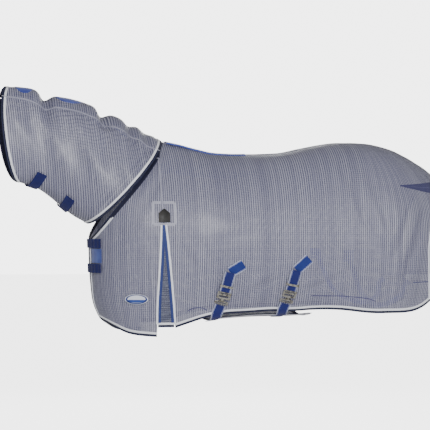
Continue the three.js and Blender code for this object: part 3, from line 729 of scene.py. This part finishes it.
def edge_run(sheet, node=None, keep=None, reach=0.006):
    """The longest unbroken run of a sheet's edge beside a node, as (point, outward, lift)."""
    bm, flat = SHEETS[sheet]
    if node:
        solid = bmesh.new()
        solid.from_mesh(NODES[node].data)
        beside = BVHTree.FromBMesh(solid)
        solid.free()
    chosen = {}
    for edge in bm.edges:
        if len(edge.link_faces) != 1:
            continue
        middle = (flat[edge.verts[0].index] + flat[edge.verts[1].index]) / 2
        if (beside.find_nearest(middle)[3] < reach) if node else keep(middle):
            for vert in edge.verts:
                chosen.setdefault(vert, []).append(edge)

    def straight(vert):
        edges = chosen[vert]
        if len(edges) != 2:
            return False
        a, b = ((e.other_vert(vert).co - vert.co).normalized() for e in edges)
        return a.angle(-b) < CORNER

    runs, used = [], set()
    starts = [v for v in chosen if not straight(v)] or [next(iter(chosen))]
    for start in starts:
        for edge in chosen[start]:
            if edge in used:
                continue
            path, vert = [start], start
            while edge not in used:
                used.add(edge)
                inside = edge.link_faces[0].calc_center_median() - vert.co
                vert = edge.other_vert(vert)
                path.append(vert)
                if not straight(vert):
                    break
                edge = next(e for e in chosen[vert] if e != edge) if len(chosen[vert]) == 2 else edge
            runs.append((path, inside))
    path, inside = max(runs, key=lambda r: sum((a.co - b.co).length for a, b in zip(r[0], r[0][1:])))
    last = (path[-1].co - path[-2].co).cross(path[-1].normal)
    sign = -1 if last.dot(inside) > 0 else 1
    result = []
    for i, vert in enumerate(path):
        tangent = path[min(i + 1, len(path) - 1)].co - path[max(i - 1, 0)].co
        result.append((vert.co.copy(), sign * tangent.cross(vert.normal).normalized(), vert.normal.copy()))
    return result


def resample(run, spacing):
    """The same run with evenly spaced, smoothed stations."""
    reached = [0.0]
    for a, b in zip(run, run[1:]):
        reached.append(reached[-1] + (b[0] - a[0]).length)
    count = max(2, round(reached[-1] / spacing)) + 1
    result, j = [], 0
    for i in range(count):
        target = reached[-1] * i / (count - 1)
        while j < len(run) - 2 and reached[j + 1] < target:
            j += 1
        share = (target - reached[j]) / max(reached[j + 1] - reached[j], 1e-9)
        result.append([a.lerp(b, share) for a, b in zip(run[j], run[j + 1])])
    for _ in range(2):
        turned = [[c.copy() for c in r] for r in result]
        for before, here, after, new in zip(result, result[1:], result[2:], turned[1:-1]):
            for k in (1, 2):
                new[k] = (before[k] + here[k] * 2 + after[k]).normalized()
        result = turned
    return [(p, o.normalized(), n.normalized()) for p, o, n in result]


def sweep_bm(run, profile, wave=None, width=None):
    """Carries a closed outline of (outward, lift, material) corners along a run."""
    bm = bmesh.new()
    corner = bm.verts.layers.int.new("corner")
    along = bm.verts.layers.float.new("along")
    ring = bmesh.ops.create_circle(bm, segments=len(profile), radius=0.01)["verts"]
    for i, vert in enumerate(ring):
        vert[corner] = i
    edges, travelled, previous = list(bm.edges), 0.0, None
    for station, (point, outward, lift) in enumerate(run):
        if station:
            made = bmesh.ops.extrude_edge_only(bm, edges=edges)["geom"]
            ring = [g for g in made if isinstance(g, bmesh.types.BMVert)]
            edges = [g for g in made if isinstance(g, bmesh.types.BMEdge) and all(v in ring for v in g.verts)]
            travelled += (point - previous).length
        previous = point
        extra = wave(travelled) if wave else 0.0
        spread = width(travelled) if width else 1.0
        for vert in ring:
            side, up, _ = profile[vert[corner]]
            vert.co = point + outward * side * spread + lift * (up + extra)
            vert[along] = travelled
    bmesh.ops.holes_fill(bm, edges=[e for e in bm.edges if e.is_boundary])
    bmesh.ops.recalc_face_normals(bm, faces=bm.faces)
    cloth = bm.loops.layers.uv.new("cloth")
    last = len(profile) - 1
    for face in bm.faces:
        corners = sorted({v[corner] for v in face.verts})
        segment = last if corners == [0, last] else corners[0]
        face.material_index = profile[segment][2] if len(face.verts) == 4 else profile[0][2]
        for loop in face.loops:
            loop[cloth].uv = (loop.vert[along], profile[loop.vert[corner]][0])
    return bm


def sewn(name, bm, materials, body, slot, *nodes):
    """A finished tape, strap or fitting that rides a body and stands for frame nodes."""
    obj = to_object(name, bm, materials)
    obj.data.set_sharp_from_angle(angle=math.radians(40))
    if nodes:
        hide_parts(*nodes)
    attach(obj, body)
    return obj


PIPED_BINDING = [(-0.0068, 0.0002, 0), (-0.0056, 0.0021, 0), (-0.0020, 0.0029, 0), (0.0018, 0.0023, 0),
                 (0.0034, 0.0014, 1), (0.0090, 0.0017, 1), (0.0142, 0.0013, 1), (0.0152, 0.0001, 1),
                 (0.0142, -0.0013, 1), (0.0040, -0.0017, 1), (-0.0060, -0.0014, 1)]


def bind(name, sheet, body, node=None, keep=None, profile=PIPED_BINDING, materials=None,
         slot="edge_binding", replaces=True):
    run = resample(edge_run(sheet, node, keep), BINDING_STEP)
    bm = sweep_bm(run, profile)
    nodes = [node] if node and replaces else []
    obj = sewn(name, bm, materials or [PIPING, EDGE_TAPE], body, slot, *nodes)
    print(name, round(sum((a[0] - b[0]).length for a, b in zip(run, run[1:])), 3), "m long")
    return obj


# %% Body, shoulder and hood bindings
for side in ("near", "off"):
    bind(f"{side}_hem_tape", f"{side}_body_cloth", "sheet", f"{side}_hem_binding")
    bind(f"{side}_rear_tape", f"{side}_body_cloth", "sheet", f"{side}_rear_binding")
    bind(f"{side}_shoulder_hem_tape", f"{side}_shoulder_cloth", "sheet", f"{side}_shoulder_hem_binding")
    bind(f"{side}_front_tape", f"{side}_shoulder_cloth", "sheet", f"{side}_front_binding")
    neckline = bind(f"{side}_neckline_tape", f"{side}_shoulder_cloth", "sheet", f"{side}_neckline_binding")
    for face in neckline.data.polygons:
        if face.center.z > -0.30:
            face.material_index = 1
    bind(f"{side}_collar_tape", f"{side}_body_cloth", "sheet", keep=lambda p: p.x < -0.455 and p.z > -0.02,
         materials=[EDGE_TAPE, EDGE_TAPE])
    bind(f"{side}_face_tape", f"{side}_hood_cloth", "hood", f"{side}_face_binding")
    bind(f"{side}_hood_rear_tape", f"{side}_hood_cloth", "hood", f"{side}_hood_rear_binding")
    bind(f"{side}_gusset_hem_tape", f"{side}_gusset_cloth", "sheet", keep=lambda p: p.z < -0.75)
bind("wrap_near_tape", "belly_wrap_cloth", "belly_wrap", "wrap_edge_binding")
bind("wrap_front_tape", "belly_wrap_cloth", "belly_wrap", keep=lambda p: p.x < -0.225)
bind("wrap_rear_tape", "belly_wrap_cloth", "belly_wrap", keep=lambda p: p.x > 0.205)
bind("flap_hem_tape", "tail_flap_cloth", "tail_flap", keep=lambda p: p.z < -0.555)
for side in ("near", "off"):
    sign = -1 if side == "near" else 1
    bind(f"{side}_flap_tape", "tail_flap_cloth", "tail_flap",
         keep=lambda p: sign * p.y > 0.02 and -0.557 < p.z < -0.12)
bind("poll_tape", "crest_cloth", "hood", keep=lambda p: p.x < -1.12 and p.z > 0.24)
bind("wither_tape", "crest_cloth", "hood", keep=lambda p: p.x > -0.53 and p.z < 0.07)

# %% [markdown]
# The shoulder gusset is an inverted V of closer, cross-striped cloth. A pale piping runs
# down both of its seams, with a blue tape inside it, and a leather patch takes the strain
# where the two seams meet.

# %% Seams: gussets, shoulders, spine and mane
GUSSET_SEAM = [(-0.0130, 0.0006, 1), (-0.0125, 0.0013, 1), (0.0000, 0.0016, 0), (0.0012, 0.0038, 0),
               (0.0050, 0.0052, 0), (0.0088, 0.0038, 0), (0.0098, 0.0004, 0), (0.0050, -0.0004, 0)]
FLAT_SEAM = [(-0.0055, 0.0002, 0), (-0.0050, 0.0010, 0), (0.0000, 0.0013, 0), (0.0050, 0.0010, 0),
             (0.0055, 0.0002, 0), (0.0000, -0.0012, 0)]
for side in ("near", "off"):
    for edge, keep in (("front", lambda p: p.x < -0.508 + 0.02 * (p.z + 0.79) and p.z < -0.33),
                       ("rear", lambda p: p.x > -0.498 and p.z < -0.33)):
        bind(f"{side}_gusset_{edge}_piping", f"{side}_gusset_cloth", "sheet", keep=keep, profile=GUSSET_SEAM,
             materials=[PIPING, INNER_BAND])
    bind(f"{side}_shoulder_seam", f"{side}_body_cloth", "sheet",
         keep=lambda p: p.x < -0.495 and p.z > -0.325, profile=FLAT_SEAM, materials=[SEAM_TAPE],
         slot="mesh_cloth")
    bind(f"{side}_spine_seam", f"{side}_body_cloth", "sheet", "spine_band", profile=FLAT_SEAM,
         materials=[SEAM_TAPE], slot="mesh_cloth", replaces=False)
    bind(f"{side}_mane_seam", f"{side}_hood_cloth", "hood", "crest_panel", profile=FLAT_SEAM,
         materials=[SEAM_TAPE], slot="mesh_cloth", replaces=False)

# %% [markdown]
# Trim that lies on the cloth is laid the same way, along a line given by stations and
# heights and dropped on to the cloth from outside. The crest carries a navy elastic tape,
# and the smooth blue lining shows beside it, and over the withers, where the mesh stands away.

# %% Lines laid on the cloth
LAID_STEP = 0.008
TRUNK = {}
for side in ("near", "off"):
    joined = bmesh.new()
    for part in ("body", "shoulder", "gusset"):
        layer = bpy.data.meshes.new("layer")
        SHEETS[f"{side}_{part}_cloth"][0].to_mesh(layer)
        joined.from_mesh(layer)
        bpy.data.meshes.remove(layer)
    TRUNK[side] = BVHTree.FromBMesh(joined)
    joined.free()


def laid_run(side, points):
    """A run along straight lines between (station, height) points, on one flank."""
    sign = -1 if side == "near" else 1
    found = []
    for (x0, z0), (x1, z1) in zip(points, points[1:]):
        steps = max(2, round(math.hypot(x1 - x0, z1 - z0) / LAID_STEP))
        for i in range(steps + 1):
            x, z = x0 + (x1 - x0) * i / steps, z0 + (z1 - z0) * i / steps
            place, normal, _, _ = TRUNK[side].ray_cast(Vector((x, sign, z)), Vector((0, -sign, 0)))
            if place and (not found or (place - found[-1][0]).length > 0.002):
                found.append((place, normal if normal.y * sign > 0 else -normal))
    return with_tangents(found)


def with_tangents(found):
    run = []
    for i, (place, normal) in enumerate(found):
        tangent = found[min(i + 1, len(found) - 1)][0] - found[max(i - 1, 0)][0]
        run.append((place, tangent.cross(normal).normalized(), normal))
    return run


def top_run(sheet, start, end):
    """A run along the middle of a sheet that lies over the spine or the crest."""
    tree = BVHTree.FromBMesh(SHEETS[sheet][0])
    steps = round((end - start) / LAID_STEP)
    found = []
    for i in range(steps + 1):
        x = start + (end - start) * i / steps
        place, normal, _, _ = tree.ray_cast(Vector((x, 0.0005, 1)), Vector((0, 0, -1)))
        if place:
            found.append((Vector((place.x, 0, place.z)), Vector((normal.x, 0, abs(normal.z))).normalized()))
    return resample(with_tangents(found), LAID_STEP)


def domed(half, radius, thick, count=6):
    """The outline of a tape that lies over a ridge of the given radius."""
    across = [half * (2 * i / count - 1) for i in range(count + 1)]
    top = [(a, thick - a * a / (2 * radius), 0) for a in across]
    return top + [(a, -thick - a * a / (2 * radius), 0) for a in reversed(across)]


def lens(length):
    """Widens and narrows a tape along its length, as a lens does."""
    return lambda travelled: max(math.sin(math.pi * min(max(travelled / length, 0), 1)), 0.04) ** 0.7


def laid_down(bm, sheet, count):
    """Lays a swept tape on to a sheet, keeping its thickness."""
    tree = BVHTree.FromBMesh(SHEETS[sheet][0])
    corner = bm.verts.layers.int["corner"]
    for vert in bm.verts:
        place, normal, _, _ = tree.find_nearest(vert.co)
        vert.co = place + normal * (0.0016 if vert[corner] <= count else -0.0006)
    return bm


PATCH_STEPS = 12              # steps across a lining patch
elastic = sweep_bm(top_run("crest_cloth", -1.150, -0.495), domed(0.009, 0.09, 0.0022))
sewn("crest_elastic", elastic, [EDGE_TAPE], "hood", "edge_binding")
for name, start, end in (("poll", -1.152, -1.066), ("crest", -0.972, -0.830)):
    patch = sweep_bm(top_run("crest_cloth", start, end), domed(0.054, 0.060, 0.0012, PATCH_STEPS),
                     width=lens(end - start))
    sewn(f"{name}_lining_patch", laid_down(patch, "crest_cloth", PATCH_STEPS), [BLUE_LINING], "hood",
         "blue_lining")
sewn("wither_lining_strip", sweep_bm(top_run("spine_cloth", -0.440, -0.060), domed(0.042, 0.15, 0.0030)),
     [BLUE_LINING], "sheet", "blue_lining")

THIN_SEAM = [(-0.0022, 0.0002, 0), (-0.0018, 0.0009, 0), (0.0018, 0.0009, 0), (0.0022, 0.0002, 0),
             (0.0000, -0.0010, 0)]
BROAD_SEAM = [(-0.0060, 0.0002, 0), (-0.0055, 0.0008, 0), (0.0055, 0.0008, 0), (0.0060, 0.0002, 0),
              (0.0000, -0.0010, 0)]
RUMP_STRIP = [(-0.0300, 0.0002, 0), (-0.0290, 0.0010, 0), (0.0000, 0.0014, 0), (0.0290, 0.0010, 0),
              (0.0300, 0.0002, 0), (0.0000, -0.0010, 0)]
patch_low, patch_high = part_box("near_gusset_patch")
patch_x, patch_z = (patch_low[0] + patch_high[0]) / 2, (patch_low[2] + patch_high[2]) / 2 + 0.008
HALF_SQUARE = 0.050
# each line's stations and heights
HEM_ARC = ((-0.376, -0.728), (-0.352, -0.716), (-0.325, -0.713), (-0.300, -0.718), (-0.284, -0.728))
FLANK_LINE = ((0.205, -0.662), (0.350, -0.664), (0.470, -0.676), (0.510, -0.690))
RUMP_LINE = ((0.700, -0.605), (0.840, -0.600))
for side in ("near", "off"):
    corners = [(patch_x + a * HALF_SQUARE, patch_z + b * HALF_SQUARE) for a, b in
               ((-1, -1), (-1, 1), (1, 1), (1, -1), (-1, -1))]
    for i, line in enumerate(zip(corners, corners[1:])):
        sewn(f"{side}_patch_seam_{i}", sweep_bm(laid_run(side, line), BROAD_SEAM), [PALE_SEAM], "sheet",
             "mesh_cloth")
    strip = sweep_bm(laid_run(side, ((0.640, -0.148), (0.760, -0.156), (0.920, -0.160))), RUMP_STRIP,
                     width=lambda travelled: 0.10 + min(travelled / 0.22, 1.3))
    sewn(f"{side}_rump_strip", strip, [DARK_SEAM], "sheet", "mesh_cloth")
    for name, line in (("hem_arc", HEM_ARC), ("flank_seam", FLANK_LINE), ("rump_seam", RUMP_LINE)):
        sewn(f"{side}_{name}", sweep_bm(laid_run(side, line), THIN_SEAM), [DARK_SEAM], "sheet", "mesh_cloth")

# %% [markdown]
# ## Webbing
#
# The surcingles, the leg straps and the tabs are flat webbing. The frame gives each one as a
# slab; the middle line and the width of its outer face are read off, and a ribbed tape with
# softened edges is drawn along them.

# %% Rungs of a strap


def strap_run(node, centre=trunk_centre):
    """A strap's middle line, and half its width, from the outer face of its slab."""
    bm = outer_face(node, centre, math.radians(75))
    bm.normal_update()
    edge = next(e for e in bm.edges if e.is_boundary)
    loop, start = [edge.verts[0]], edge.verts[0]
    while True:
        vert = edge.other_vert(loop[-1])
        if vert == start:
            break
        loop.append(vert)
        edge = next(e for e in vert.link_edges if e.is_boundary and e != edge)

    def turn(i):
        here = loop[i].co
        return (here - loop[i - 1].co).angle(loop[(i + 1) % len(loop)].co - here)

    corners = sorted(sorted(range(len(loop)), key=turn)[-4:])
    sides = [[loop[k % len(loop)] for k in range(i, (j if j > i else j + len(loop)) + 1)]
             for i, j in zip(corners, corners[1:] + corners[:1])]
    length = [sum((a.co - b.co).length for a, b in zip(s, s[1:])) for s in sides]
    first = 0 if length[0] + length[2] > length[1] + length[3] else 1
    left, right = sides[first], sides[first + 2][::-1]
    run = []
    for a, b in zip(left, right):
        across = b.co - a.co
        run.append(((a.co + b.co) / 2, across.normalized(), (a.normal + b.normal).normalized()))
    half = sum((a.co - b.co).length for a, b in zip(left, right)) / len(left) / 2
    bm.free()
    return run, half


WEBBING_THICKNESS, WEBBING_STEP = 0.0022, 0.006


def webbing_profile(half, thick):
    soft = min(0.0008, thick * 0.4)
    return [(-half, -0.35 * thick, 0), (-half + soft, 0.0, 0), (0.0, 0.0001, 0), (half - soft, 0.0, 0),
            (half, -0.35 * thick, 0), (half, -0.65 * thick, 0), (half - soft, -thick, 0), (0.0, -thick, 0),
            (-half + soft, -thick, 0), (-half, -0.65 * thick, 0)]


def strap(name, node, body, material, slot="navy_webbing", centre=trunk_centre, wave=None):
    run, half = strap_run(node, centre)
    run = resample(run, WEBBING_STEP)
    print(name, round(sum((a[0] - b[0]).length for a, b in zip(run, run[1:])), 3), "m by", round(half * 2, 4))
    sewn(name, sweep_bm(run, webbing_profile(half, WEBBING_THICKNESS), wave), [material], body, slot, node)


for place in ("front", "rear"):
    strap(f"{place}_anchor", f"{place}_surcingle_anchor", "sheet", ANCHOR_WEBBING)
    strap(f"{place}_surcingle", f"{place}_surcingle_strap", f"{place}_strap", NAVY_WEBBING)
    strap(f"{place}_wrap_webbing", f"{place}_wrap_strap", "belly_wrap", NAVY_WEBBING)
for side in ("near", "off"):
    strap(f"{side}_leg_webbing", f"{side}_leg_strap", "sheet", LEG_WEBBING)
    strap(f"{side}_leg_patch", f"{side}_leg_strap_patch", "sheet", LEG_WEBBING)
for place in ("upper", "lower"):
    strap(f"{place}_chest_tape", f"chest_tab_{place}", f"chest_tab_{place}", TAB_TAPE, "touch_tape",
          wave=lambda s: 0.0012 * math.sin(s * 2 * math.pi / 0.031))
for place in ("front", "rear"):
    strap(f"{place}_throat_tape", f"throat_tab_{place}", f"throat_tab_{place}", TAB_TAPE, "touch_tape",
          centre=neck_centre)
strap("chest_loop_tape", "chest_loop_patch", "sheet", LOOP_TAPE, "touch_tape")

# %% [markdown]
# ## Fittings, patches and the badge
#
# The metal fittings are copies of the frame's parts with their sharp corners taken off, the
# way a tumbled stamping loses them. The strain patch is one piece of leather, and the badge
# is a soft moulding with a raised rim.

# %% Metal fittings


def fitting(name, node, body, material, slot="hook_steel", rounding=0.0005):
    bm = bmesh.new()
    bm.from_mesh(NODES[node].data)
    bmesh.ops.remove_doubles(bm, verts=bm.verts, dist=1e-5)
    bmesh.ops.dissolve_limit(bm, angle_limit=math.radians(2), verts=bm.verts, edges=bm.edges)
    sharp = [e for e in bm.edges if len(e.link_faces) == 2 and e.calc_face_angle() > math.radians(50)]
    if rounding and sharp:
        bmesh.ops.bevel(bm, geom=sharp, offset=rounding, segments=2, profile=0.5, affect="EDGES", material=-1,
                        clamp_overlap=True)
    bmesh.ops.recalc_face_normals(bm, faces=bm.faces)
    sewn(name, bm, [material], body, slot, node)


for place in ("front", "rear"):
    fitting(f"{place}_plate", f"{place}_surcingle_plate", f"{place}_strap", PLATED_STEEL)
    fitting(f"{place}_length_slider", f"{place}_slider", f"{place}_slider", PLATED_STEEL)
    fitting(f"{place}_hook", f"{place}_surcingle_hook", "belly_wrap", PLATED_STEEL)
for side in ("near", "off"):
    fitting(f"{side}_ring", f"{side}_leg_strap_ring", "sheet", PLATED_STEEL, rounding=0)
    fitting(f"{side}_snap", f"{side}_leg_snap", "sheet", PLATED_STEEL, rounding=0)
    fitting(f"{side}_bolt", f"{side}_leg_snap_bolt", f"{side}_snap_bolt", PLATED_STEEL, rounding=0)
    fitting(f"{side}_strain_patch", f"{side}_gusset_patch", "sheet", BLACK_LEATHER, "patch_leather",
            rounding=0.0009)
print("fittings made")

# %% Badge


def build_badge(t, given):
    split = t.add("ShaderNodeSeparateXYZ")
    t.link(given["Cloth"], split.inputs[0])
    a, b = split.outputs["X"], split.outputs["Y"]
    reach = t.math("SQRT", t.math("ADD", t.math("MULTIPLY", a, a), t.math("MULTIPLY", b, b)))
    color = t.mix(t.math("GREATER_THAN", b, 0.06), given["Field"], given["Pale"])
    from_bar = t.math("ABSOLUTE", t.math("ADD", b, 0.02))
    color = t.mix(t.step(from_bar, 0.07, 0.09, 1.0, 0.0), color, given["Pale"])
    color = t.mix(t.step(b, -0.60, -0.56, 1.0, 0.0), color, given["Shade"])
    color = t.mix(t.step(reach, 0.74, 0.77), color, given["Rim"])
    color = t.mix(t.step(reach, 0.90, 0.93), color, given["Pale"])
    return {"Color": color}


BADGE = group(
    "badge_face",
    [("Cloth", "NodeSocketVector", None), ("Field", "NodeSocketColor", rgb(44, 72, 150)),
     ("Pale", "NodeSocketColor", rgb(226, 230, 244)), ("Shade", "NodeSocketColor", rgb(120, 134, 170)),
     ("Rim", "NodeSocketColor", rgb(22, 40, 110))],
    [("Color", "NodeSocketColor")],
    build_badge,
)
badge_material, badge_tree, badge_shader = new_material("badge_moulding", 0.35)
badge_group = badge_tree.add("ShaderNodeGroup", node_tree=BADGE)
badge_tree.link(cloth_map(badge_tree), badge_group.inputs["Cloth"])
badge_tree.link(badge_group.outputs["Color"], badge_shader.inputs["Base Color"])

badge_bm = smooth_sheet(outer_face("badge", trunk_centre), 2)
low, high = (Vector(c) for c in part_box("badge"))
middle = (low + high) / 2
half_width, half_height = (high.x - low.x) / 2, (high.z - low.z) / 2


def badge_map(p):
    return ((p.x - middle.x) / half_width, (p.z - middle.z) / half_height)


put_map(badge_bm, badge_map)
for vert in badge_bm.verts:
    reach = math.hypot(*badge_map(vert.co))
    vert.co += vert.normal * (0.0012 if 0.76 < reach < 0.95 else 0.0)
badge = sewn("oval_badge", badge_bm, [badge_material], "sheet", "badge_print", "badge")
badge_wall = badge.modifiers.new("thickness", "SOLIDIFY")
badge_wall.thickness, badge_wall.offset = 0.0022, -1
print("badge made")
